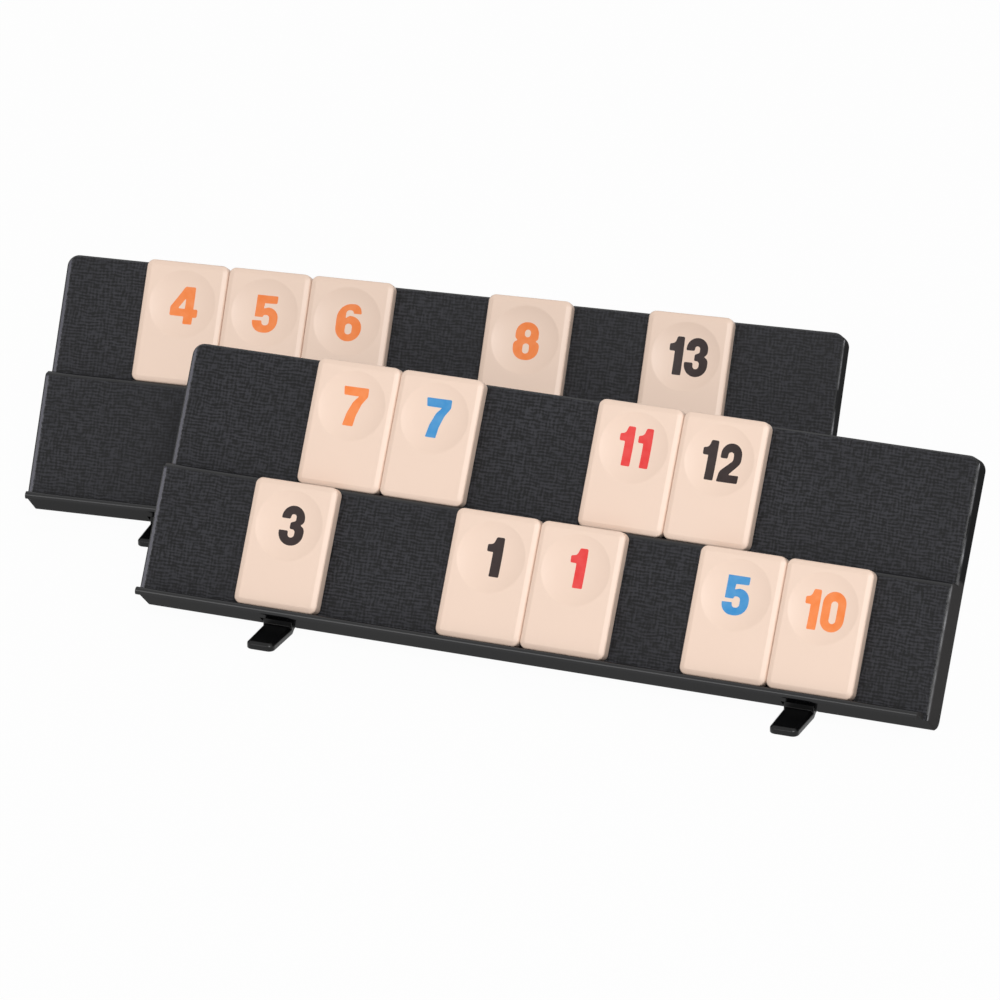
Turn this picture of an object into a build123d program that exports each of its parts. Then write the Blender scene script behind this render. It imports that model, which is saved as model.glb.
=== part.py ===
from build123d import *
import os
from math import cos, radians, sin

# Two identical two-tier tile racks on fold-out legs, with fourteen loose number tiles.
# Z is up and the table is at Z = 0. The racks face -Y. Lengths are in mm, angles in degrees.

# ---- Tile ---------------------------------------------------------------------------------------
TILE_WIDTH = 26.0
TILE_HEIGHT = 37.6
TILE_THICKNESS = 4.4
TILE_CORNER = 2.2  # corner radius, seen from the front
TILE_BEVEL_WIDTH = 1.6  # shallow bevel round the front face
TILE_BEVEL_DROP = 0.6
DIMPLE_DIAMETER = 21.0
DIMPLE_DEPTH = 0.5
DIMPLE_DROP = 13.0  # dimple centre below the tile's top edge

# ---- Rack moulding ------------------------------------------------------------------------------
RACK_LENGTH = 244.0
LEAN = 30.0  # faces lean back from the vertical
WALL = 1.8
TIER_PITCH = 38.05  # from the lower ledge up to the upper ledge, along the face
TIER_STEP = 5.7  # the upper face stands this far behind the lower one
UPPER_FACE_HEIGHT = 37.05
RIM_DEPTH = 11.8  # rear rim of the moulding behind the lower face
TOP_DEPTH = 12.8  # the rim at the top of the rack
BASE_FRONT = 1.9  # underside below the ledge, at the lower face
BASE_REAR = 4.3  # underside below the ledge, at the rear rim
HEEL_RADIUS = 3.2  # rounded rear bottom edge
TOP_CORNER = 3.6  # top corners, seen from the front
STEP_EDGE = 1.9  # rounded front edge of the upper ledge
END_EDGE = 0.5  # bevel round the outline of both ends
LIP_RADIUS = 1.15  # round bead along the front of the lower ledge
LIP_REACH = 5.95  # bead centre in front of the lower face
LIP_DROP = 1.25  # bead centre below the ledge
LIP_INSET = 1.7  # the lip stops short of each end
RIB = 1.4  # stiffening ribs across the open back
RIB_SETBACK = 1.6  # ribs stop short of the rear rim
RIB_SPACING = 40.0

# ---- Legs ---------------------------------------------------------------------------------------
LEFT_LEG_AT = 42.6  # leg centres from the left end of the rack
RIGHT_LEG_AT = 203.9
LEG_WIDTH = 9.2
TOE_TIP_WIDTH = 8.6
ARM_TIP_WIDTH = 7.0
TOE_REACH = 16.1  # pivot to toe tip
ARM_REACH = 32.0  # pivot to the end of the rear arm
TOE_THICKNESS = 2.4
ARM_THICKNESS = 2.4
ARCH_RISE = 1.1  # the leg touches the table only at its toe and at its rear pad
ARCH_START = 1.7  # the toe's sole ends this far in front of the pivot
PAD_LENGTH = 5.0
HUB_RADIUS = 2.3
LEG_CORNER = 1.9  # corners of toe and arm, seen from above
LEG_EDGE = 0.8  # bevel round the top of the toe
PIVOT_HEIGHT = 6.15  # pivot above the table
PIVOT_DEPTH = 6.2  # pivot behind the lower face
PIVOT_RISE = 0.5  # pivot above the lower ledge, along the face
PIN_DIAMETER = 3.0
PIN_CLEARANCE = 0.1  # radial, in the ears
PIN_END_GAP = 0.2
LEG_SIDE_GAP = 0.4  # between leg and ears
NOTCH_GAP = 0.3  # between the hub and the front of its notch
EAR = 2.0
EAR_RADIUS = 3.6

# ---- Layout -------------------------------------------------------------------------------------
REAR_SHIFT_X = -61.6  # left end of the rear rack, from the left end of the front rack
REAR_SHIFT_Y = 53.8
REAR_YAW = 5.55
TILE_GAP = 0.15  # between neighbouring tiles
NEXT_TILE = TILE_WIDTH + TILE_GAP
THREE_AT = 31.4  # left sides of the tiles and of the runs of tiles, from the left end of the rack
ONES_AT = 94.7
FIVE_AND_TEN_AT = 169.7
SEVENS_AT = 41.5
ELEVEN_AND_TWELVE_AT = 129.4
FOUR_TO_SIX_AT = 26.7
EIGHT_AT = 134.7
THIRTEEN_AT = 184.4
FRONT_LOWER_TILES = {
    "three_black": THREE_AT,
    "one_black": ONES_AT,
    "one_red": ONES_AT + NEXT_TILE,
    "five_blue": FIVE_AND_TEN_AT,
    "ten_orange": FIVE_AND_TEN_AT + NEXT_TILE,
}
FRONT_UPPER_TILES = {
    "seven_orange": SEVENS_AT,
    "seven_blue": SEVENS_AT + NEXT_TILE,
    "eleven_red": ELEVEN_AND_TWELVE_AT,
    "twelve_black": ELEVEN_AND_TWELVE_AT + NEXT_TILE,
}
REAR_UPPER_TILES = {
    "four_orange": FOUR_TO_SIX_AT,
    "five_orange": FOUR_TO_SIX_AT + NEXT_TILE,
    "six_orange": FOUR_TO_SIX_AT + 2 * NEXT_TILE,
    "eight_orange": EIGHT_AT,
    "thirteen_black": THIRTEEN_AT,
}

# ---- Worked out from the above ------------------------------------------------------------------
TOP = TIER_PITCH + UPPER_FACE_HEIGHT
LEDGE_HEIGHT = PIVOT_HEIGHT - PIVOT_RISE * cos(radians(LEAN)) + PIVOT_DEPTH * sin(radians(LEAN))
PIVOT_BACK = PIVOT_RISE * sin(radians(LEAN)) + PIVOT_DEPTH * cos(radians(LEAN))
TOP_BACK = TOP * sin(radians(LEAN)) + TOP_DEPTH * cos(radians(LEAN))
NOTCH_FRONT = PIVOT_DEPTH - HUB_RADIUS - NOTCH_GAP

# The origin is the middle of the ground that the whole set covers.
SET_LEFT = REAR_SHIFT_X - TOP_BACK * sin(radians(REAR_YAW))
SET_RIGHT = RACK_LENGTH
SET_FRONT = PIVOT_BACK - TOE_REACH
SET_BACK = (
    REAR_SHIFT_Y + RACK_LENGTH * sin(radians(REAR_YAW)) + TOP_BACK * cos(radians(REAR_YAW))
)
FRONT_LEFT_END = (-(SET_LEFT + SET_RIGHT) / 2, -(SET_FRONT + SET_BACK) / 2)


def face_plane(shift_x, shift_y, yaw):
    """Plane of a rack's lower face: X along the rack, Y up the face, Z out of the face."""
    along = Vector(cos(radians(yaw)), sin(radians(yaw)), 0)
    rearwards = Vector(0, 0, 1).cross(along)
    return Plane(
        origin=(FRONT_LEFT_END[0] + shift_x, FRONT_LEFT_END[1] + shift_y, LEDGE_HEIGHT),
        x_dir=along,
        z_dir=Vector(0, 0, sin(radians(LEAN))) - rearwards * cos(radians(LEAN)),
    )


def section_plane(face, along):
    """Cross-section of the rack: X is the depth behind the lower face, Y is up the face."""
    return Plane(origin=face.from_local_coords((along, 0, 0)), x_dir=-face.z_dir, z_dir=face.x_dir)


def pivot_plane(face, along):
    """Side view of a leg, with its pivot at the origin: X is rearwards and Y is up."""
    return Plane(
        origin=face.from_local_coords((along, PIVOT_RISE, -PIVOT_DEPTH)),
        x_dir=Vector(0, 0, 1).cross(face.x_dir),
        z_dir=face.x_dir,
    )


def underside(depth):
    """Height of the underside at a depth behind the lower face."""
    return -BASE_FRONT - (BASE_REAR - BASE_FRONT) * depth / RIM_DEPTH


def beside(part, face, along, height, depth, direction):
    """The straight edge of a part that runs in a direction and lies nearest to a point."""
    spot = face.from_local_coords((along, height, -depth))
    return part.edges().filter_by(Axis(spot, direction)).sort_by_distance(spot)[0]


def hollow_outline(rim, top_rim, root):
    """Outline of the open back between the walls, reaching a little way into them by root."""
    floor = underside(WALL) + WALL - root
    rear_floor = underside(rim) + WALL - root
    return [
        (WALL - root, floor),
        (rim, rear_floor),
        (rim, TIER_PITCH),
        (top_rim, TOP - WALL + root),
        (TIER_STEP + WALL - root, TOP - WALL + root),
        (TIER_STEP + WALL - root, TIER_PITCH - WALL + root),
        (WALL - root, TIER_PITCH - WALL + root),
    ]


def rack(face):
    """One moulding: two tiers, ledges, lip bead, end walls, ribs and the ears of both legs."""
    root = WALL / 4
    past_rim = RIM_DEPTH + WALL
    half_bay = LEG_WIDTH / 2 + LEG_SIDE_GAP
    with BuildPart() as body:
        with BuildSketch(section_plane(face, 0)):
            with BuildLine():
                Polyline(
                    (0, underside(0)),
                    (RIM_DEPTH, underside(RIM_DEPTH)),
                    (RIM_DEPTH, TIER_PITCH),
                    (TOP_DEPTH, TOP),
                    (TIER_STEP, TOP),
                    (TIER_STEP, TIER_PITCH),
                    (0, TIER_PITCH),
                    close=True,
                )
            make_face()
        extrude(amount=RACK_LENGTH)
        middle = RACK_LENGTH / 2
        fillet(beside(body, face, middle, -BASE_REAR, RIM_DEPTH, face.x_dir), HEEL_RADIUS)
        fillet(beside(body, face, middle, TIER_PITCH, 0, face.x_dir), STEP_EDGE)
        corner_depth = (TIER_STEP + TOP_DEPTH) / 2
        corners = [
            beside(body, face, end, TOP, corner_depth, face.z_dir) for end in (0, RACK_LENGTH)
        ]
        fillet(corners, TOP_CORNER)
        ends = body.faces().filter_by(Axis(face.origin, face.x_dir))
        chamfer([edge for end in ends for edge in end.edges()], END_EDGE)

        with BuildSketch(section_plane(face, LIP_INSET)):
            with BuildLine():
                Polyline(
                    (root, 0),
                    (root, underside(root)),
                    (-LIP_REACH, underside(-LIP_REACH)),
                    (-LIP_REACH, LIP_RADIUS - LIP_DROP),
                    (LIP_RADIUS - LIP_REACH, 0),
                    close=True,
                )
            make_face()
            with Locations((-LIP_REACH, -LIP_DROP)):
                Circle(LIP_RADIUS)
        extrude(amount=RACK_LENGTH - 2 * LIP_INSET)

        with BuildSketch(section_plane(face, WALL)):
            Polygon(*hollow_outline(past_rim, past_rim, 0), align=None)
        extrude(amount=RACK_LENGTH - 2 * WALL, mode=Mode.SUBTRACT)

        rim = RIM_DEPTH - RIB_SETBACK
        top_rim = TOP_DEPTH - RIB_SETBACK
        for step in (-1, 0, 1):
            with BuildSketch(section_plane(face, middle + step * RIB_SPACING - RIB / 2)):
                Polygon(*hollow_outline(rim, top_rim, root), align=None)
            extrude(amount=RIB)

        for leg_at in (LEFT_LEG_AT, RIGHT_LEG_AT):
            with BuildSketch(section_plane(face, leg_at - half_bay)):
                with BuildLine():
                    Polyline(
                        (NOTCH_FRONT, PIVOT_RISE),
                        (NOTCH_FRONT, underside(NOTCH_FRONT) - WALL),
                        (past_rim, underside(past_rim) - WALL),
                        (past_rim, PIVOT_RISE),
                        close=True,
                    )
                make_face()
            extrude(amount=2 * half_bay, mode=Mode.SUBTRACT)
            for ear_at in (leg_at - half_bay - EAR, leg_at + half_bay):
                with BuildSketch(section_plane(face, ear_at)):
                    with Locations((PIVOT_DEPTH, PIVOT_RISE)):
                        Circle(EAR_RADIUS)
                    with BuildLine():
                        Polyline(
                            (WALL - root, underside(WALL)),
                            (WALL - root, PIVOT_RISE + 3 * EAR_RADIUS),
                            (WALL, PIVOT_RISE + 3 * EAR_RADIUS),
                            (WALL, underside(WALL)),
                            close=True,
                        )
                    make_face()
                    make_hull()
                    Polygon(
                        (0, underside(0)),
                        (past_rim, underside(past_rim)),
                        (past_rim, -past_rim),
                        (0, -past_rim),
                        align=None,
                        mode=Mode.SUBTRACT,
                    )
                extrude(amount=EAR)
            with BuildSketch(section_plane(face, leg_at)):
                with Locations((PIVOT_DEPTH, PIVOT_RISE)):
                    Circle(PIN_DIAMETER / 2 + PIN_CLEARANCE)
            extrude(amount=half_bay + EAR, both=True, mode=Mode.SUBTRACT)
    return body.part


def leg(face, along):
    """Flat fold-out leg: toe, arched sole, rear arm with its pad, hub and moulded-on pins."""
    pivot = pivot_plane(face, along)
    sole = -PIVOT_HEIGHT
    arch = sole + ARCH_RISE
    toe_top = sole + TOE_THICKNESS
    arm_top = arch + ARM_THICKNESS
    ramp = 1.3 * ARCH_RISE
    with BuildPart() as bar:
        with BuildSketch(pivot):
            with BuildLine():
                front = (-HUB_RADIUS, 0)
                back = (HUB_RADIUS, 0)
                ThreePointArc(front, (0, HUB_RADIUS), back)
                Polyline(
                    back,
                    (HUB_RADIUS, arm_top / 2),
                    (2.5 * HUB_RADIUS, arm_top),
                    (ARM_REACH, arm_top),
                    (ARM_REACH, sole),
                    (ARM_REACH - PAD_LENGTH, sole),
                    (ARM_REACH - PAD_LENGTH - ramp, arch),
                    (-ARCH_START + ramp, arch),
                    (-ARCH_START, sole),
                    (-TOE_REACH, sole),
                    (-TOE_REACH, toe_top),
                    (-HUB_RADIUS, toe_top),
                    front,
                )
            make_face()
        extrude(amount=LEG_WIDTH / 2, both=True)
        with BuildSketch(Plane(origin=pivot.origin, x_dir=pivot.x_dir, z_dir=pivot.y_dir)):
            with BuildLine():
                Polyline(
                    (-TOE_REACH, TOE_TIP_WIDTH / 2),
                    (0, LEG_WIDTH / 2),
                    (ARM_REACH, ARM_TIP_WIDTH / 2),
                    (ARM_REACH, -ARM_TIP_WIDTH / 2),
                    (0, -LEG_WIDTH / 2),
                    (-TOE_REACH, -TOE_TIP_WIDTH / 2),
                    close=True,
                )
            make_face()
        extrude(amount=PIVOT_HEIGHT, both=True, mode=Mode.INTERSECT)
        upright = bar.edges().filter_by(Axis(pivot.origin, pivot.y_dir))
        fillet(upright.group_by(Axis(pivot.origin, pivot.x_dir))[0], LEG_CORNER)
        fillet(upright.group_by(Axis(pivot.origin, pivot.x_dir))[-1], LEG_CORNER)
        toe_face = bar.faces().filter_by(Axis(pivot.origin, pivot.y_dir)).sort_by_distance(
            pivot.from_local_coords((-TOE_REACH, toe_top, 0))
        )[0]
        chamfer(toe_face.edges().sort_by(Axis(pivot.origin, pivot.x_dir))[:-1], LEG_EDGE)
        with BuildSketch(pivot):
            Circle(PIN_DIAMETER / 2)
        reach = LEG_WIDTH / 2 + LEG_SIDE_GAP + EAR - PIN_END_GAP
        extrude(amount=reach, both=True)
    return bar.part


def tile(face, along, height, depth):
    """Number tile: bevelled front, round finger dimple in its upper half."""
    seat = Plane(
        origin=face.from_local_coords((along, height, -depth)),
        x_dir=face.x_dir,
        z_dir=face.z_dir,
    )
    radius = DIMPLE_DIAMETER / 2
    sphere_radius = (radius**2 + DIMPLE_DEPTH**2) / (2 * DIMPLE_DEPTH)
    with BuildPart(seat) as block:
        Box(TILE_WIDTH, TILE_HEIGHT, TILE_THICKNESS, align=Align.MIN)
        front = block.faces().sort_by(Axis(seat.origin, seat.z_dir))[-1]
        chamfer(front.edges(), TILE_BEVEL_WIDTH, TILE_BEVEL_DROP, reference=front)
        with BuildSketch(seat):
            RectangleRounded(TILE_WIDTH, TILE_HEIGHT, TILE_CORNER, align=Align.MIN)
        extrude(amount=TILE_THICKNESS, mode=Mode.INTERSECT)
        middle = (TILE_WIDTH / 2, TILE_HEIGHT - DIMPLE_DROP)
        with Locations((*middle, TILE_THICKNESS - DIMPLE_DEPTH + sphere_radius)):
            Sphere(sphere_radius, rotation=(90, 0, 0), mode=Mode.SUBTRACT)
    return block.part


os.makedirs("parts", exist_ok=True)
front_face = face_plane(0, 0, 0)
rear_face = face_plane(REAR_SHIFT_X, REAR_SHIFT_Y, REAR_YAW)
nodes = {"front_rack": rack(front_face), "rear_rack": rack(rear_face)}
for side, leg_at in (("left", LEFT_LEG_AT), ("right", RIGHT_LEG_AT)):
    nodes[f"front_{side}_leg"] = leg(front_face, leg_at)
    nodes[f"rear_{side}_leg"] = leg(rear_face, leg_at)
for row, face, height, depth, tiles in (
    ("front_lower", front_face, 0, 0, FRONT_LOWER_TILES),
    ("front_upper", front_face, TIER_PITCH, TIER_STEP, FRONT_UPPER_TILES),
    ("rear_upper", rear_face, TIER_PITCH, TIER_STEP, REAR_UPPER_TILES),
):
    for number, along in tiles.items():
        nodes[f"{row}_{number}"] = tile(face, along, height, depth)
for name, part in nodes.items():
    part.label = name
    export_step(part, f"parts/{name}.step")
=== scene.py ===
"""Two black two-tier tile racks on fold-out legs, one behind the other, with fourteen cream number
tiles. Lengths are millimetres until a mesh is made, which turns them into metres.
"""

from math import atan, cos, pi, radians, sin, tan

import bmesh
import bpy
import numpy as np
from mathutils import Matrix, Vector


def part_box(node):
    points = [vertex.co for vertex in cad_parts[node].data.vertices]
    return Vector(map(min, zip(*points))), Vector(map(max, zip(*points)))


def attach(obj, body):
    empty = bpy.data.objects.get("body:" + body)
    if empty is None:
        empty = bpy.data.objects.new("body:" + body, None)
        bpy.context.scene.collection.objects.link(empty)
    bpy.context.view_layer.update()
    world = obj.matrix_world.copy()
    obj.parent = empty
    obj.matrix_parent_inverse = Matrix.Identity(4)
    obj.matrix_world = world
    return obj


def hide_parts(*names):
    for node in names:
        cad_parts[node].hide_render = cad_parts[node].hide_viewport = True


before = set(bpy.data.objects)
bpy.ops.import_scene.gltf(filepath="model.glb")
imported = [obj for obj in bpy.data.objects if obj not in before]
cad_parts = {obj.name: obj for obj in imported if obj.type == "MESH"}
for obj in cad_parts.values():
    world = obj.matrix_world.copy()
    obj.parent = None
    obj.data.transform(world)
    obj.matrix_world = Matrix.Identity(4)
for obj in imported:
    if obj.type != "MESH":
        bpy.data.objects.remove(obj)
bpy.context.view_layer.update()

MM = 0.001

# ---- Racks, as placed and sized in the solids -----------------------------------------------------
LEAN = radians(30)  # of the faces, back from upright
REAR_YAW = radians(5.55)
REAR_SHIFT = (-61.6, 53.8)  # from the front rack's origin to the rear one's
RACK_LENGTH = 244.0
TIER_PITCH = 38.05  # from the lower row of tiles to the upper one, up the face
TIER_STEP = 5.7  # the upper face lies this far behind the lower one

# ---- Tiles ----------------------------------------------------------------------------------------
TILE_WIDTH = 26.0
TILE_HEIGHT = 37.6
TILE_THICKNESS = 4.4
TILE_CORNER = 2.2
TILE_BEVEL_WIDTH = 1.6
TILE_BEVEL_DROP = 0.58
TILE_ROUND = 0.7  # edge between the bevel and the side
TILE_CREASE = 0.12  # half the width of the soft crease on top of the bevel
TILE_GAP = 0.15
FLAT_MARGIN = 0.3  # from the bevel to the last ring of the flat front
CORNER_POINTS = 9  # points on each corner of the tile's outline
SIDE_STEPS = (10, 16)  # steps along its short and long sides
ROUND_POINTS = 9
TILE_BACK = [(0.0, 0.5), (0.04, 0.3), (0.15, 0.13), (0.32, 0.03), (0.5, 0.0)]  # (inset, height)

DIMPLE_RADIUS = 10.5
DIMPLE_DEPTH = 1.15
DIMPLE_POWER = 2.6
DIMPLE_DROP = 13.0  # its centre under the tile's top edge
DIMPLE_SOFTNESS = 0.035
DIMPLE_RINGS = (*np.linspace(1.5, 9.3, 7), *np.linspace(9.8, 11.0, 9))  # radii, close at its rim

# ---- Places of the tiles along their racks --------------------------------------------------------
THREE_AT = 31.4
ONES_AT = 94.7
FIVE_TEN_AT = 169.7
SEVENS_AT = 41.5
ELEVEN_TWELVE_AT = 129.4
FOUR_TO_SIX_AT = 26.7
EIGHT_AT = 134.7
THIRTEEN_AT = 184.4
NEXT = TILE_WIDTH + TILE_GAP  # from one tile to the next

# Each tile: place along its rack, ink, and its figures as (figure, shift across, shift down, width).
FRONT_LOWER = {
    "three_black": (THREE_AT, "black", [("3", 0, 0, 1)]),
    "one_black": (ONES_AT, "black", [("1", 0, 0, 1)]),
    "one_red": (ONES_AT + NEXT, "red", [("1", -0.5, -0.5, 1)]),
    "five_blue": (FIVE_TEN_AT, "blue", [("5", 0.05, 0, 1)]),
    "ten_orange": (FIVE_TEN_AT + NEXT, "orange", [("1", -4.5, 0.75, 0.87), ("0", 0, 0, 1)]),
}
FRONT_UPPER = {
    "seven_orange": (SEVENS_AT, "orange", [("7", 0.05, 0, 1)]),
    "seven_blue": (SEVENS_AT + NEXT, "blue", [("7", 0, -0.2, 1)]),
    "eleven_red": (ELEVEN_TWELVE_AT, "red", [("1", -3.65, -0.1, 0.88), ("1", 1.95, -0.1, 0.88)]),
    "twelve_black": (ELEVEN_TWELVE_AT + NEXT, "black", [("1", -4.25, 0.35, 0.87), ("2", 0, 0.05, 1)]),
}
REAR_UPPER = {
    "four_orange": (FOUR_TO_SIX_AT, "orange", [("4", 0.05, 0, 1)]),
    "five_orange": (FOUR_TO_SIX_AT + NEXT, "orange", [("5", 0.35, 0.2, 1)]),
    "six_orange": (FOUR_TO_SIX_AT + 2 * NEXT, "orange", [("6", 0.1, 0, 1)]),
    "eight_orange": (EIGHT_AT, "orange", [("8", 0.05, 0, 1)]),
    "thirteen_black": (THIRTEEN_AT, "black", [("1", -4.15, 0.05, 0.87), ("3", 2.25, 0.05, 0.92)]),
}

# Figure outlines: corners as (across, down from the tile's top edge, radius of the turn).
# The first loop is the outside and the others are counters. A figure's width scales about
# FIGURE_FIXED_X.
FIGURES = {
    "0": [
        [(12.35, 7.65, 3.6), (19.45, 7.65, 3.6), (19.45, 19.35, 3.6), (12.35, 19.35, 3.6)],
        [(14.9, 10.4, 1.0), (16.95, 10.4, 1.0), (16.95, 16.9, 1.0), (14.9, 16.9, 1.0)],
    ],
    "1": [
        [(16.05, 6.95, 0.45), (16.05, 18.6, 0.3), (13.0, 18.6, 0.3), (13.0, 11.4, 0.25),
         (11.1, 11.4, 0.45), (11.1, 9.35, 0.4), (12.85, 9.0, 1.3), (13.6, 6.95, 0.6)],
    ],
    "2": [
        [(12.85, 18.95, 0.3), (19.35, 18.95, 0.4), (19.35, 16.6, 0.35), (16.1, 16.6, 0.15),
         (19.35, 13.0, 2.6), (19.35, 7.45, 3.4), (13.0, 7.45, 3.3), (12.9, 12.0, 0.4),
         (15.05, 12.0, 0.4), (15.2, 10.0, 0.85), (16.85, 10.0, 0.85), (16.85, 12.4, 1.2),
         (13.2, 15.9, 2.5)],
    ],
    "3": [
        [(10.0, 10.85, 0.35), (10.0, 6.9, 3.6), (17.25, 6.9, 3.6), (17.25, 11.7, 1.9),
         (16.1, 12.4, 0.2), (17.6, 13.2, 1.9), (17.6, 18.7, 3.7), (9.75, 18.7, 4.0),
         (9.75, 14.4, 0.35), (12.6, 14.4, 0.4), (12.75, 16.3, 0.95), (14.7, 16.3, 1.0),
         (14.7, 13.85, 0.9), (12.95, 13.85, 0.45), (12.95, 11.95, 0.55), (14.5, 11.3, 0.6),
         (14.5, 9.4, 0.8), (12.95, 9.4, 0.7), (12.75, 10.85, 0.5)],
    ],
    "4": [
        [(13.1, 7.4, 0.7), (16.35, 7.4, 0.4), (16.35, 14.15, 0.15), (17.75, 14.1, 0.5),
         (17.75, 16.65, 0.5), (16.45, 16.7, 0.15), (16.45, 18.9, 0.35), (13.5, 18.9, 0.35),
         (13.5, 16.6, 0.15), (9.0, 16.55, 0.5), (9.0, 13.85, 0.8)],
        [(13.6, 10.9, 0.15), (13.6, 14.2, 0.2), (11.45, 14.2, 0.2)],
    ],
    "5": [
        [(9.55, 7.35, 0.25), (16.15, 7.35, 0.35), (16.05, 9.65, 0.4), (12.15, 9.75, 0.1),
         (12.0, 11.35, 0.1), (13.4, 10.95, 1.5), (16.75, 11.05, 3.3), (16.75, 18.8, 3.9),
         (8.8, 18.8, 4.3), (8.8, 15.2, 0.25), (11.75, 15.1, 0.25), (12.0, 16.5, 0.9),
         (14.05, 16.5, 1.0), (14.05, 13.3, 1.0), (12.3, 13.3, 0.5), (11.9, 14.05, 0.25),
         (9.4, 14.05, 0.3)],
    ],
    "6": [
        [(16.9, 10.35, 0.3), (16.35, 7.45, 2.4), (9.2, 7.45, 4.6), (9.2, 18.95, 4.2),
         (17.3, 18.95, 4.1), (17.3, 11.2, 3.7), (13.2, 11.1, 1.0), (12.0, 11.9, 0.1),
         (12.0, 9.4, 1.1), (14.2, 9.4, 0.8), (14.35, 10.35, 0.3)],
        [(12.2, 13.5, 1.05), (14.35, 13.5, 1.05), (14.35, 16.8, 1.05), (12.2, 16.8, 1.05)],
    ],
    "7": [
        [(9.3, 7.3, 0.3), (17.15, 7.2, 0.45), (17.15, 9.7, 1.1), (15.5, 12.1, 3.5),
         (14.3, 15.8, 5.0), (14.0, 18.85, 0.3), (10.7, 18.85, 0.3), (11.3, 15.2, 5.0),
         (12.75, 11.6, 3.0), (14.3, 9.85, 0.1), (9.65, 9.85, 0.35)],
    ],
    "8": [
        [(9.6, 7.45, 3.5), (16.8, 7.45, 3.5), (16.8, 12.5, 1.9), (15.9, 13.05, 0.4),
         (17.3, 13.7, 1.9), (17.3, 18.95, 3.6), (9.25, 18.95, 3.6), (9.25, 13.7, 1.9),
         (10.6, 13.05, 0.4), (9.6, 12.5, 1.9)],
        [(12.45, 9.7, 0.9), (14.25, 9.7, 0.9), (14.25, 12.0, 0.9), (12.45, 12.0, 0.9)],
        [(12.25, 13.9, 0.95), (14.25, 13.9, 0.95), (14.25, 16.95, 0.95), (12.25, 16.95, 0.95)],
    ],
}
FIGURE_FIXED_X = 16.1
FIGURE_TURN_POINTS = 9
FIGURE_MERGE = 1e-4
FIGURE_AREA = ((6, 21), (TILE_HEIGHT - 20, TILE_HEIGHT - 6))  # across and up, cut into cells
INK_PROUD = 0.015
INK_SHELL = 0.05
INK_CELL = 1.5

# ---- Legs -----------------------------------------------------------------------------------------
LEG_ROUND = 0.45
LEG_MERGE = 0.01  # points nearer than this are one
LEG_FLAT = radians(1)  # faces that turn less than this are one
LEG_SHARP = radians(25)  # edges that turn more than this are rounded

# ---- Grain of the racks, painted reflection and highlight on their edges, paler end wall ----------
WEFT_PITCH = 1.0
WARP_PITCH = 1.13
GRAIN_DEPTH = 0.07
CLOTH_FROM = 1.5  # from the left end
CLOTH_TO = RACK_LENGTH - 0.9
BEAD_FROM = 1.0  # in front of the lower face
# the painted reflection strip at the left edge of the faces runs between these, from the left end
STRIP_FROM = 0.5
STRIP_TO = 1.4
# the painted highlight line at the right edge of the faces runs between these
HIGHLIGHT_FROM = RACK_LENGTH - 0.55
HIGHLIGHT_TO = RACK_LENGTH - 0.2
END_PALE_TO = TIER_PITCH + 1.0  # up the right end wall

# ---- Colours, as linear red, green and blue -------------------------------------------------------
CLOTH_PIT, CLOTH_THREAD = (0.0003, 0.0003, 0.0008), (0.030, 0.030, 0.035)
PLAIN_DARK, PLAIN_PALE = (0.003, 0.003, 0.0035), (0.007, 0.007, 0.008)
# painted fill light: the back and the ledges are made paler than the rest of the black
BACK_AND_LEDGE_FILL = (0.018, 0.018, 0.020)
# painted reflection: a paler bluish strip along the left edge of the faces
EDGE_SHEEN = (0.046, 0.044, 0.062)
# paler low on the right end wall
END_LOW_PALE = (0.042, 0.040, 0.040)
# painted highlight: a bright line along the right edge of the faces
EDGE_HIGHLIGHT = (0.24, 0.24, 0.25)
LEG_DARK, LEG_PALE = (0.002, 0.002, 0.002), (0.005, 0.005, 0.0055)
CREAM_DARK, CREAM_PALE = (0.815, 0.622, 0.505), (0.845, 0.648, 0.527)
INK_COLOURS = {
    "black": ((0.013, 0.005, 0.004), (0.025, 0.013, 0.012)),
    "red": ((0.74, 0.036, 0.034), (0.78, 0.075, 0.070)),
    "blue": ((0.030, 0.245, 0.56), (0.085, 0.31, 0.60)),
    "orange": ((0.86, 0.210, 0.040), (0.89, 0.275, 0.090)),
}
WHITE = (1, 1, 1, 1)
PAPER_GREY = (0.70, 0.70, 0.70, 1)

# ---- Set, in metres -------------------------------------------------------------------------------
FLOOR_HALF = 6
FLOOR_LEVEL = -0.00005
FLOOR_GLOW = 0.97  # how much of the floor's own look is plain white
SKY_LIGHT = 0.29
AIM = (0, 0, 0.03)
KEY_LIGHT_AT, KEY_LIGHT_SIZE, KEY_LIGHT_WATTS = (1.95, -3.34, 3.20), (1.2, 1.2), 162
LEFT_LIGHT_AT, LEFT_LIGHT_SIZE, LEFT_LIGHT_WATTS = (-1.70, -4.30, 1.95), (1.4, 2.4), 24
CAMERA_AZIMUTH, CAMERA_ELEVATION = radians(21.532), radians(22.694)
CAMERA_OFFSET = (771.24, -1666.03, 794.517)  # mm from the front rack's origin
CAMERA_LENS, CAMERA_SENSOR = 244.738, 36.0
CAMERA_CLIP = (0.05, 30)


# ---- Shader maths ---------------------------------------------------------------------------------
class Value:
    """A shader socket. Arithmetic on it adds Math nodes."""

    def __init__(self, nodes, socket):
        self.nodes, self.socket = nodes, socket

    def math(self, operation, *values):
        return self.nodes.node("ShaderNodeMath", {"operation": operation}, dict(enumerate(values)))

    def __add__(self, other):
        return self.math("ADD", self, other)

    def __sub__(self, other):
        return self.math("SUBTRACT", self, other)

    def __rsub__(self, other):
        return self.math("SUBTRACT", other, self)

    def __mul__(self, other):
        return self.math("MULTIPLY", self, other)

    __radd__ = __add__
    __rmul__ = __mul__

    def sine(self):
        return self.math("SINE", self)

    def above(self, edge, width):
        """0 below edge, 1 above it, with a ramp of that width between."""
        inputs = {0: self, 1: edge - width / 2, 2: edge + width / 2}
        return self.nodes.node("ShaderNodeMapRange", {}, inputs)


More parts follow.
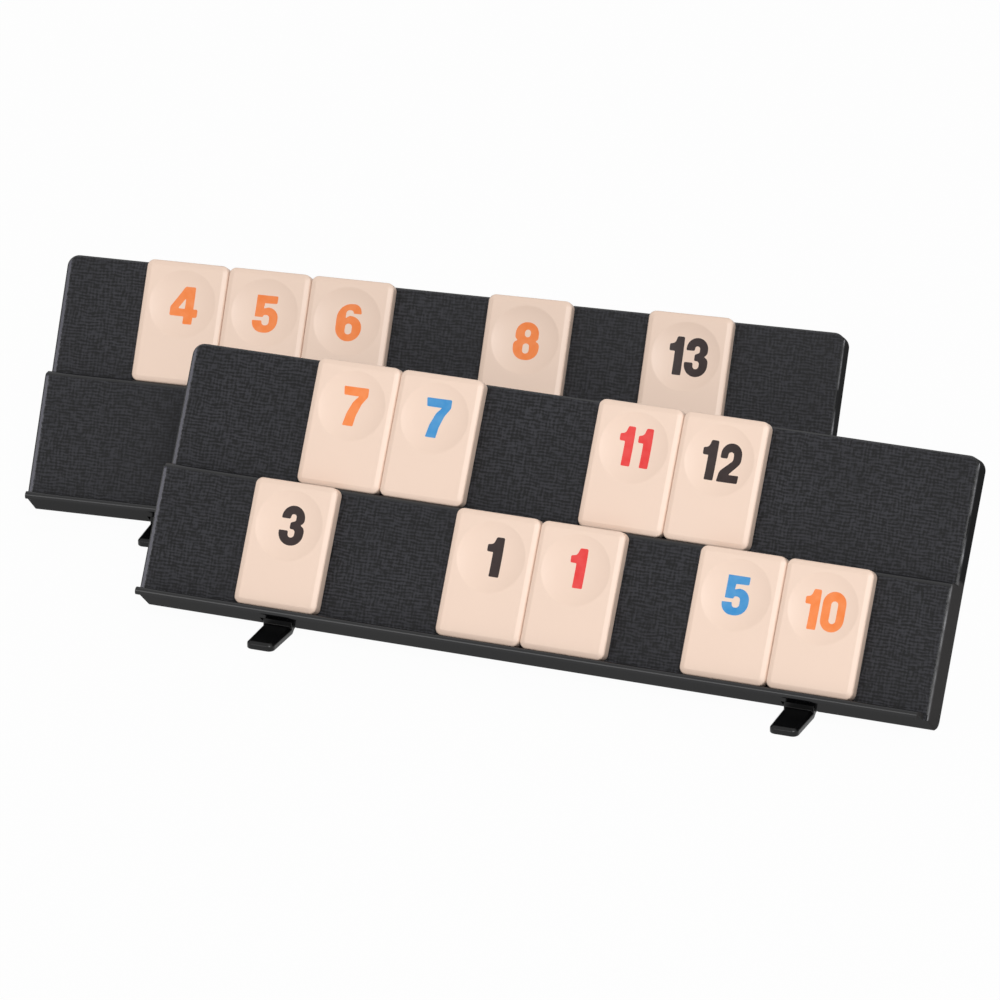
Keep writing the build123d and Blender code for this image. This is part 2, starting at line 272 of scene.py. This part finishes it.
class Nodes:
    """A node tree, of a material or of the world."""

    def __init__(self, tree):
        self.tree = tree

    def node(self, kind, settings={}, inputs={}, output=0):
        """Adds a node: settings first, then the values or links of its sockets."""
        made = self.tree.nodes.new(kind)
        for key, value in settings.items():
            setattr(made, key, value)
        for key, value in inputs.items():
            if isinstance(value, Value):
                self.tree.links.new(value.socket, made.inputs[key])
            else:
                made.inputs[key].default_value = value
        return Value(self, made.outputs[output])

    def looked_at(self):
        """1 for camera, glossy and transmission rays, 0 for the rays that light the object."""
        total = self.node("ShaderNodeLightPath", output="Is Camera Ray")
        for kind in ("Is Glossy Ray", "Is Transmission Ray"):
            ray = self.node("ShaderNodeLightPath", output=kind)
            total = self.node("ShaderNodeMath", {"operation": "ADD", "use_clamp": True}, {0: total, 1: ray})
        return total

    def cover(self, share, first, second, output="Material Output"):
        """Shows the second shader over the first one by share."""
        mixed = self.node("ShaderNodeMixShader", {}, {0: share, 1: first, 2: second})
        self.tree.links.new(mixed.socket, self.tree.nodes[output].inputs[0])


class Finish(Nodes):
    """A procedural material with one Principled shader."""

    def __init__(self, name, **constants):
        self.material = bpy.data.materials.new(name)
        self.material.use_nodes = True
        super().__init__(self.material.node_tree)
        self.shader = self.tree.nodes["Principled BSDF"]
        self.set(constants)
        self.place = self.node("ShaderNodeTexCoord", output="Object")

    def set(self, constants):
        """Sets sockets of the shader, whose names have _ for a space here."""
        for socket, value in constants.items():
            self.shader.inputs[socket.replace("_", " ")].default_value = value

    def dot(self, vector, direction):
        """Dot product of a vector and a fixed direction."""
        inputs = {0: vector, 1: tuple(direction)}
        return self.node("ShaderNodeVectorMath", {"operation": "DOT_PRODUCT"}, inputs, "Value")

    def along(self, direction, origin):
        """Distance in mm of the shaded point from a plane through origin, along a unit direction."""
        return (self.dot(self.place, direction) - float(np.dot(origin, direction)) * MM) * (1 / MM)

    def point(self, x, y, z=0.0):
        """Joins three values into a vector."""
        return self.node("ShaderNodeCombineXYZ", {}, {0: x, 1: y, 2: z})

    def scaled(self, scale):
        """The shaded point in metres, times scale."""
        return self.node("ShaderNodeVectorMath", {"operation": "SCALE"}, {0: self.place, 3: scale})

    def noise(self, point, detail=2.0, roughness=0.5):
        """Soft noise from 0 to 1 with features about as far apart as the point's unit."""
        inputs = {"Vector": point, "Scale": 1.0, "Detail": detail, "Roughness": roughness}
        return self.node("ShaderNodeTexNoise", {}, inputs, "Fac")

    def mix(self, share, first, second):
        """Colour between first and second."""
        made = self.node("ShaderNodeMix", {"data_type": "RGBA"}, {0: share}, 2)
        sockets = made.socket.node.inputs
        for socket, value in ((sockets[6], first), (sockets[7], second)):
            if isinstance(value, Value):
                self.tree.links.new(value.socket, socket)
            else:
                socket.default_value = (*value, 1)
        return made

    def feed(self, socket, value):
        self.tree.links.new(value.socket, self.shader.inputs[socket])

    def blend(self, share, **constants):
        """Adds a second Principled shader, mixed in by share, and goes on with that one."""
        first = self.shader
        self.shader = self.node("ShaderNodeBsdfPrincipled").socket.node
        self.set(constants)
        self.cover(share, Value(self, first.outputs[0]), Value(self, self.shader.outputs[0]))

    def bump(self, height, distance, strength):
        """Bump of that distance in mm, which feeds the normal."""
        inputs = {"Height": height, "Distance": distance * MM, "Strength": strength}
        self.feed("Normal", self.node("ShaderNodeBump", {}, inputs))


# ---- Places and pieces ----------------------------------------------------------------------------
def rack_frame(rear):
    """Origin in mm and the three unit axes of a rack's lower face: along it, up it and out of it."""
    yaw = REAR_YAW if rear else 0.0
    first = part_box("front_lower_three_black")
    origin = np.array([
        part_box("front_rack")[0].x / MM,
        first[1].y / MM - TILE_HEIGHT * sin(LEAN),
        first[0].z / MM,
    ])
    if rear:
        origin = origin + (*REAR_SHIFT, 0)
    along = np.array([cos(yaw), sin(yaw), 0])
    rearwards = np.array([-sin(yaw), cos(yaw), 0])
    out = np.array([0, 0, sin(LEAN)]) - rearwards * cos(LEAN)
    return origin, along, np.cross(out, along), out


def placed(points, frame_axes, along, height, depth):
    """Points given as (across, up, out) of a tile, moved to its place on a rack, in metres."""
    origin, x, y, z = frame_axes
    seat = origin + along * x + height * y - depth * z
    return (seat + points @ np.array([x, y, z])) * MM


def shown(name, data):
    """A new object in the scene."""
    thing = bpy.data.objects.new(name, data)
    bpy.context.scene.collection.objects.link(thing)
    return thing


def new_piece(name, points, faces, finish, body):
    """A smooth mesh piece that rides on a body."""
    mesh = bpy.data.meshes.new(name)
    mesh.from_pydata(points.tolist(), [], faces)
    mesh.shade_smooth()
    mesh.materials.append(finish.material)
    mesh.update()
    piece = shown(name, mesh)
    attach(piece, body)
    return piece


# ---- Tiles ----------------------------------------------------------------------------------------
def tile_front(x, y):
    """Height of the tile's front over its back. The front is flat at the tile's thickness, less a
    round dimple of depth d0 and radius R, d = d0 (1 - (r / R)^p), whose rim is softened as
    (d + sqrt(d^2 + e^2)) / 2."""
    r2 = (x - TILE_WIDTH / 2) ** 2 + (y - (TILE_HEIGHT - DIMPLE_DROP)) ** 2
    d = DIMPLE_DEPTH * (1 - (r2 / DIMPLE_RADIUS**2) ** (DIMPLE_POWER / 2))
    return TILE_THICKNESS - (d + np.sqrt(d * d + DIMPLE_SOFTNESS * DIMPLE_SOFTNESS)) / 2


def outline(inset):
    """Ring of points on the tile's rounded rectangle, moved in by inset: centres of the corner
    circles plus (corner radius - inset) times the outward direction, and even steps between."""
    r = TILE_CORNER
    right, top = TILE_WIDTH - r, TILE_HEIGHT - r
    centres = [(right, top), (r, top), (r, r), (right, r)]
    turn = np.linspace(0, pi / 2, CORNER_POINTS)
    ring = []
    for k, centre in enumerate(centres):
        angle = turn + k * pi / 2
        arc = np.array(centre) + (r - inset) * np.stack([np.cos(angle), np.sin(angle)], -1)
        onward = np.array([cos(angle[-1]), sin(angle[-1])])
        following = np.array(centres[(k + 1) % 4]) + (r - inset) * onward
        share = np.linspace(0, 1, SIDE_STEPS[k % 2] + 1)[1:-1, None]
        ring += [arc, arc[-1] * (1 - share) + following * share]
    return np.concatenate(ring)


def tile_surface():
    """Closed tile skin as rings round the dimple's centre. Rings inside the dimple are circles,
    c + r u with u the direction to the outline point; beyond it they run in straight shares to the
    outline; then the outline itself is carried down a profile of (inset, height): a soft crease,
    the bevel, an arc that is tangent to the bevel and the side, the side and a rounded back edge;
    and the back closes in to its middle."""
    c = np.array([TILE_WIDTH / 2, TILE_HEIGHT - DIMPLE_DROP])
    edge = outline(TILE_BEVEL_WIDTH + FLAT_MARGIN)
    u = (edge - c) / np.linalg.norm(edge - c, axis=1)[:, None]
    rings = [c + r * u for r in DIMPLE_RINGS]
    rings += [rings[-1] * (1 - s) + edge * s for s in (0.3, 0.6, 0.85, 1.0)]
    heights = [tile_front(ring[:, 0], ring[:, 1]) for ring in rings]

    t, top, low = TILE_THICKNESS, TILE_BEVEL_WIDTH, TILE_THICKNESS - TILE_BEVEL_DROP
    slope = TILE_BEVEL_DROP / TILE_BEVEL_WIDTH
    crease = [
        (top + TILE_CREASE, t), (top + 0.04, t - 0.006),
        (top - 0.04, t - 0.021), (top - TILE_CREASE, t - TILE_CREASE * slope),
    ]
    shoulder = low - TILE_ROUND * tan((pi / 2 - atan(slope)) / 2)
    turn = np.linspace(pi / 2 - atan(slope), 0, ROUND_POINTS)
    arc_insets, arc_heights = TILE_ROUND * (1 - np.cos(turn)), shoulder + TILE_ROUND * np.sin(turn)
    profile = [*crease, *zip(arc_insets, arc_heights), (0.0, shoulder / 2), *TILE_BACK]
    for inset, height in profile:
        rings.append(outline(inset))
        heights.append(np.full(len(edge), height))
    middle = np.array([TILE_WIDTH / 2, TILE_HEIGHT / 2])
    for s in (0.9, 0.4):
        rings.append(middle + s * (rings[-1] - middle))
        heights.append(np.zeros(len(edge)))

    points = np.concatenate([np.column_stack([r, h]) for r, h in zip(rings, heights)])
    front, back = len(points), len(points) + 1
    points = np.vstack([points, [*c, tile_front(*c)], [*middle, 0]])
    n, last = len(edge), (len(rings) - 1) * len(edge)
    i = np.arange(n)
    j = (i + 1) % n
    k = np.arange(0, last, n)[:, None]
    quads = np.stack([k + i, k + n + i, k + n + j, k + j], -1).reshape(-1, 4)
    front_fan = np.column_stack([np.full(n, front), i, j])
    back_fan = np.column_stack([np.full(n, back), last + j, last + i])
    return points, [*quads.tolist(), *front_fan.tolist(), *back_fan.tolist()]


def turned(corners):
    """Closed outline through corners (x, y, r), each turned by an arc of radius r that is tangent
    to both its sides. Where two arcs would meet on a side they share it and get smaller."""
    corners = np.array(corners)
    p, radius = corners[:, :2], corners[:, 2]
    back, ahead = np.roll(p, 1, 0) - p, np.roll(p, -1, 0) - p
    length = np.linalg.norm(ahead, axis=1)
    a = back / np.linalg.norm(back, axis=1)[:, None]
    b = ahead / length[:, None]
    half = np.arccos(np.clip((a * b).sum(1), -1, 1)) / 2
    reach = radius / np.tan(half)
    share = np.minimum(1, length / (reach + np.roll(reach, -1)))
    reach = reach * np.minimum(share, np.roll(share, 1))
    r = reach * np.tan(half)
    inward = (a + b) / np.linalg.norm(a + b, axis=1)[:, None]
    centre = p + inward * (r / np.sin(half))[:, None]
    start, end = p + a * reach[:, None] - centre, p + b * reach[:, None] - centre
    first = np.arctan2(start[:, 1], start[:, 0])
    sweep = (np.arctan2(end[:, 1], end[:, 0]) - first + pi) % (2 * pi) - pi
    angle = first[:, None] + sweep[:, None] * np.linspace(0, 1, FIGURE_TURN_POINTS)
    arcs = centre[:, None] + r[:, None, None] * np.stack([np.cos(angle), np.sin(angle)], -1)
    return arcs.reshape(-1, 2)


def figure_sheet(figures):
    """Flat filled shape of a tile's figures, cut into small cells, as a bmesh in tile mm."""
    curve = bpy.data.curves.new("figure", "CURVE")
    curve.dimensions, curve.fill_mode = "2D", "BOTH"
    for figure, across, down, width in figures:
        for loop in FIGURES[figure]:
            points = turned([((x - FIGURE_FIXED_X) * width + FIGURE_FIXED_X, y, r) for x, y, r in loop])
            spline = curve.splines.new("POLY")
            spline.points.add(len(points) - 1)
            flat = np.column_stack([
                points[:, 0] + across, TILE_HEIGHT - points[:, 1] - down,
                np.zeros(len(points)), np.ones(len(points)),
            ])
            spline.points.foreach_set("co", flat.ravel())
            spline.use_cyclic_u = True
    holder = bpy.data.objects.new("figure", curve)
    filled = bpy.data.meshes.new_from_object(holder)
    sheet = bmesh.new()
    sheet.from_mesh(filled)
    bmesh.ops.remove_doubles(sheet, verts=sheet.verts, dist=FIGURE_MERGE)
    for direction, (low, high) in zip(((1, 0, 0), (0, 1, 0)), FIGURE_AREA):
        for cut in np.arange(low, high, INK_CELL):
            everything = sheet.verts[:] + sheet.edges[:] + sheet.faces[:]
            where = Vector(direction) * cut
            bmesh.ops.bisect_plane(sheet, geom=everything, plane_co=where, plane_no=direction)
    bpy.data.objects.remove(holder)
    bpy.data.curves.remove(curve)
    bpy.data.meshes.remove(filled)
    return sheet


def ink_piece(name, figures, finish, body, frame_axes, place):
    """A tile's figures as a thin closed shell that follows the dimple."""
    sheet = figure_sheet(figures)
    mesh = bpy.data.meshes.new(name)
    sheet.to_mesh(mesh)
    sheet.free()
    points = np.empty(len(mesh.vertices) * 3)
    mesh.vertices.foreach_get("co", points)
    points = points.reshape(-1, 3)
    points[:, 2] = tile_front(points[:, 0], points[:, 1]) + INK_PROUD
    mesh.vertices.foreach_set("co", placed(points, frame_axes, *place).ravel())
    mesh.materials.append(finish.material)
    mesh.update()
    normals = np.empty(len(mesh.polygons) * 3)
    mesh.polygons.foreach_get("normal", normals)
    if (normals.reshape(-1, 3) @ frame_axes[3]).sum() < 0:
        mesh.flip_normals()
    piece = shown(name, mesh)
    shell = piece.modifiers.new("shell", "SOLIDIFY")
    shell.thickness, shell.offset = INK_SHELL * MM, -1
    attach(piece, body)


# ---- Legs -----------------------------------------------------------------------------------------
def rounded_leg(node, finish):
    """The leg's own shape with its doubles merged and every edge turned by a small radius."""
    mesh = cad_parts[node].data.copy()
    mesh.name = f"{node}_round"
    work = bmesh.new()
    work.from_mesh(mesh)
    bmesh.ops.remove_doubles(work, verts=work.verts, dist=LEG_MERGE * MM)
    bmesh.ops.dissolve_limit(work, angle_limit=LEG_FLAT, verts=work.verts, edges=work.edges)
    work.to_mesh(mesh)
    work.free()
    mesh.shade_smooth()
    mesh.materials.clear()
    mesh.materials.append(finish.material)
    piece = shown(mesh.name, mesh)
    turn = piece.modifiers.new("edges", "BEVEL")
    turn.width, turn.segments = LEG_ROUND * MM, 3
    turn.limit_method, turn.angle_limit = "ANGLE", LEG_SHARP
    turn.use_clamp_overlap = True
    even = piece.modifiers.new("normals", "WEIGHTED_NORMAL")
    even.keep_sharp = True
    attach(piece, node)
    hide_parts(node)


# ---- Finishes -------------------------------------------------------------------------------------
class RackPlastic(Finish):
    """Black moulding of a rack, with linen on its faces and smooth round them. It is laid out on the
    rack's own axes: u along the face, v up it and w out of it, in mm."""

    def __init__(self, name, frame_axes):
        super().__init__(name, IOR=1.31)
        origin, along, up, out = frame_axes
        self.u, self.v, self.w = (self.along(axis, origin) for axis in (along, up, out))
        normal = self.node("ShaderNodeTexCoord", output="Normal")
        self.faces_out, self.faces_up, self.faces_end = (
            self.dot(normal, axis) for axis in (out, up, along)
        )
        self.outward = self.faces_out.above(0.97, 0.04)
        self.ragged = self.noise(self.point(self.u * 0.6, self.v * 0.9, 5.0), 3.0, 0.6)
        self.ragged_u = self.u + (self.ragged - 0.5) * 1.2

        self.linen()
        self.blend(
            1 - self.linen_area(),
            Specular_IOR_Level=0.0, Coat_IOR=1.46, Coat_Roughness=0.18, Roughness=0.6,
        )
        self.smooth()
        self.gloss()

    def linen_area(self):
        """1 on the faces, 0 on the bead, on all that faces elsewhere and at the two ragged ends."""
        between = self.ragged_u.above(CLOTH_FROM, 0.4) * (1 - self.ragged_u.above(CLOTH_TO, 0.4))
        return self.outward * between * (1 - self.w.above(BEAD_FROM, 0.5))

    def linen(self):
        """Woven grain: a noise stretched up the face, plus one stretched along it, plus weft and warp,
        which are sine waves of the height and of the length, bent by a slow noise."""
        u, v = self.u, self.v
        upright = self.noise(self.point(u * 1.25, v * 0.30), 2.0, 0.6)
        level = self.noise(self.point(u * 0.34, v * 1.40, 7.0), 2.0, 0.6)
        wander = self.noise(self.point(u * 0.16, v * 0.16, 3.0))
        weft = (v * (2 * pi / WEFT_PITCH) + wander * 12).sine()
        warp = (u * (2 * pi / WARP_PITCH) + wander * 14).sine()
        grain = (upright - 0.5) * 1.9 + (level - 0.5) * 2.3 + weft * 0.27 + warp * 0.15 + 0.45
        tone = grain.above(0.5, 0.75)
        wide = self.noise(self.point(u * 0.035, v * 0.05, 9.0), 3.0)
        self.feed("Base Color", self.mix(tone * (0.6 + 0.6 * wide), CLOTH_PIT, CLOTH_THREAD))
        self.feed("Roughness", 0.52 + tone * 0.12)
        self.bump(tone, GRAIN_DEPTH, 0.8)

    def smooth(self):
        """Clouded black, painted paler on the back and the ledges as fill light, with a painted reflection
        as a bluish strip at the left edge of the faces, a painted highlight line at the right edge, and
        paler low on the right end wall."""
        u, v, w = self.u, self.v, self.w
        scuff = self.noise(self.point(u * 0.05, v * 0.05, w * 0.05), 4.0)
        plain = self.mix(scuff, PLAIN_DARK, PLAIN_PALE)
        # painted fill light: paler where the surface faces up or backwards
        painted_fill_faces = self.faces_up.above(0.6, 0.3) + (1 - self.faces_out.above(-0.5, 0.3))
        plain = self.mix(painted_fill_faces, plain, BACK_AND_LEDGE_FILL)
        # painted reflection: a paler bluish strip on the smooth margin at the left edge of the faces
        at_left = self.ragged_u.above(STRIP_FROM, 0.3) * (1 - self.ragged_u.above(STRIP_TO, 0.2))
        wear_and_sheen = self.mix(self.outward * at_left * (0.5 + self.ragged), plain, EDGE_SHEEN)
        # paler towards the bottom of the right end wall
        low_on_end = self.faces_end.above(0.5, 0.3) * (1 - v.above(END_PALE_TO, 1.0)) * (0.5 + scuff)
        paled_low = self.mix(low_on_end, wear_and_sheen, END_LOW_PALE)
        # painted highlight: a bright broken line along the right edge of the faces
        patchy = self.noise(self.point(3.0, v * 0.045, 2.0), 4.0).above(0.50, 0.12)
        at_right = u.above(HIGHLIGHT_FROM, 0.1) * (1 - u.above(HIGHLIGHT_TO, 0.1))
        edge_highlight = self.faces_out.above(0.6, 0.2) * at_right * patchy * (0.4 + self.ragged)
        self.feed("Base Color", self.mix(edge_highlight, paled_low, EDGE_HIGHLIGHT))

    def gloss(self):
        """Glossy on what faces out, such as the bead, satin underneath and matt at the ends."""
        bead = self.faces_out.above(0.55, 0.5) * (1 - (self.faces_end * self.faces_end).above(0.5, 0.3))
        under = 1 - self.faces_up.above(-0.8, 0.3)
        self.feed("Coat Weight", 0.05 + bead * 0.95 + under * 0.10)


def leg_plastic():
    """Blacker, smoother moulding of the legs."""
    finish = Finish("leg_plastic", IOR=1.36)
    cloud = finish.noise(finish.scaled(60.0), 3.0)
    finish.feed("Base Color", finish.mix(cloud, LEG_DARK, LEG_PALE))
    finish.feed("Roughness", 0.26 + cloud * 0.12)
    return finish


def tile_plastic():
    """Warm cream moulding with faint clouding and a satin skin."""
    finish = Finish("tile_plastic", IOR=1.48)
    cloud = finish.noise(finish.scaled(45.0), 3.0)
    skin = finish.noise(finish.scaled(900.0))
    finish.feed("Base Color", finish.mix(cloud, CREAM_DARK, CREAM_PALE))
    finish.feed("Roughness", 0.42 + cloud * 0.08)
    finish.bump(skin, 0.004, 0.6)
    return finish


def figure_ink(name, fresh, wear_and_sheen):
    """Figure paint, a little uneven."""
    finish = Finish(name, IOR=1.38)
    cloud = finish.noise(finish.scaled(380.0), 3.0)
    finish.feed("Base Color", finish.mix(cloud.above(0.5, 0.5), fresh, wear_and_sheen))
    finish.feed("Roughness", 0.42 + cloud * 0.1)
    return finish


# ---- The racks, legs and tiles --------------------------------------------------------------------
front_axes, rear_axes = rack_frame(False), rack_frame(True)
legs = leg_plastic()
for side, axes in (("front", front_axes), ("rear", rear_axes)):
    finish = RackPlastic(f"{side}_rack_plastic", axes)
    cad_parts[f"{side}_rack"].material_slots[0].material = finish.material
    for hand in ("left", "right"):
        rounded_leg(f"{side}_{hand}_leg", legs)

cream = tile_plastic()
inks = {colour: figure_ink(f"{colour}_ink", *tones) for colour, tones in INK_COLOURS.items()}
skin_points, skin_faces = tile_surface()
for row, axes, height, depth, tiles in (
    ("front_lower", front_axes, 0, 0, FRONT_LOWER),
    ("front_upper", front_axes, TIER_PITCH, TIER_STEP, FRONT_UPPER),
    ("rear_upper", rear_axes, TIER_PITCH, TIER_STEP, REAR_UPPER),
):
    for number, (at, colour, figures) in tiles.items():
        node = f"{row}_{number}"
        place = (at, height, depth)
        points = placed(skin_points, axes, *place)
        body = new_piece(f"{node}_tile", points, skin_faces, cream, node)
        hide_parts(node)
        ink_piece(f"{node}_figure", figures, inks[colour], node, axes, place)


# ---- Floor, light and camera ----------------------------------------------------------------------
corners = [
    (x * FLOOR_HALF, y * FLOOR_HALF, FLOOR_LEVEL) for x, y in ((-1, -1), (1, -1), (1, 1), (-1, 1))
]
floor_mesh = bpy.data.meshes.new("floor")
floor_mesh.from_pydata(corners, [], [(0, 1, 2, 3)])
floor = shown("floor", floor_mesh)
paper = Finish("floor_paper", Base_Color=PAPER_GREY, Roughness=0.6)
glow = paper.node("ShaderNodeEmission", {}, {"Color": WHITE, "Strength": 1.0})
paper.cover(paper.looked_at() * FLOOR_GLOW, Value(paper, paper.shader.outputs[0]), glow)
floor_mesh.materials.append(paper.material)

world = bpy.data.worlds.new("studio")
bpy.context.scene.world = world
world.use_nodes = True
sky = Nodes(world.node_tree)
seen = sky.node("ShaderNodeBackground", {}, {"Color": WHITE, "Strength": 1.0})
lit = sky.node("ShaderNodeBackground", {}, {"Color": WHITE, "Strength": SKY_LIGHT})
sky.cover(sky.looked_at(), lit, seen, "World Output")


def softbox(name, where, size, power):
    """A rectangular area lamp that faces the racks."""
    lamp = bpy.data.lights.new(name, "AREA")
    lamp.shape, lamp.size, lamp.size_y, lamp.energy = "RECTANGLE", *size, power
    holder = shown(name, lamp)
    holder.location = where
    holder.rotation_euler = (Vector(AIM) - Vector(where)).to_track_quat("-Z", "Y").to_euler()


softbox("key_light", KEY_LIGHT_AT, KEY_LIGHT_SIZE, KEY_LIGHT_WATTS)
softbox("left_light", LEFT_LIGHT_AT, LEFT_LIGHT_SIZE, LEFT_LIGHT_WATTS)

camera = shown("camera", bpy.data.cameras.new("camera"))
camera.data.lens, camera.data.sensor_width = CAMERA_LENS, CAMERA_SENSOR
camera.data.clip_start, camera.data.clip_end = CAMERA_CLIP
camera.location = (front_axes[0] + CAMERA_OFFSET) * MM
camera.rotation_euler = (pi / 2 - CAMERA_ELEVATION, 0, CAMERA_AZIMUTH)
bpy.context.scene.camera = camera
bpy.context.scene.view_settings.view_transform = "Standard"

bpy.context.view_layer.update()
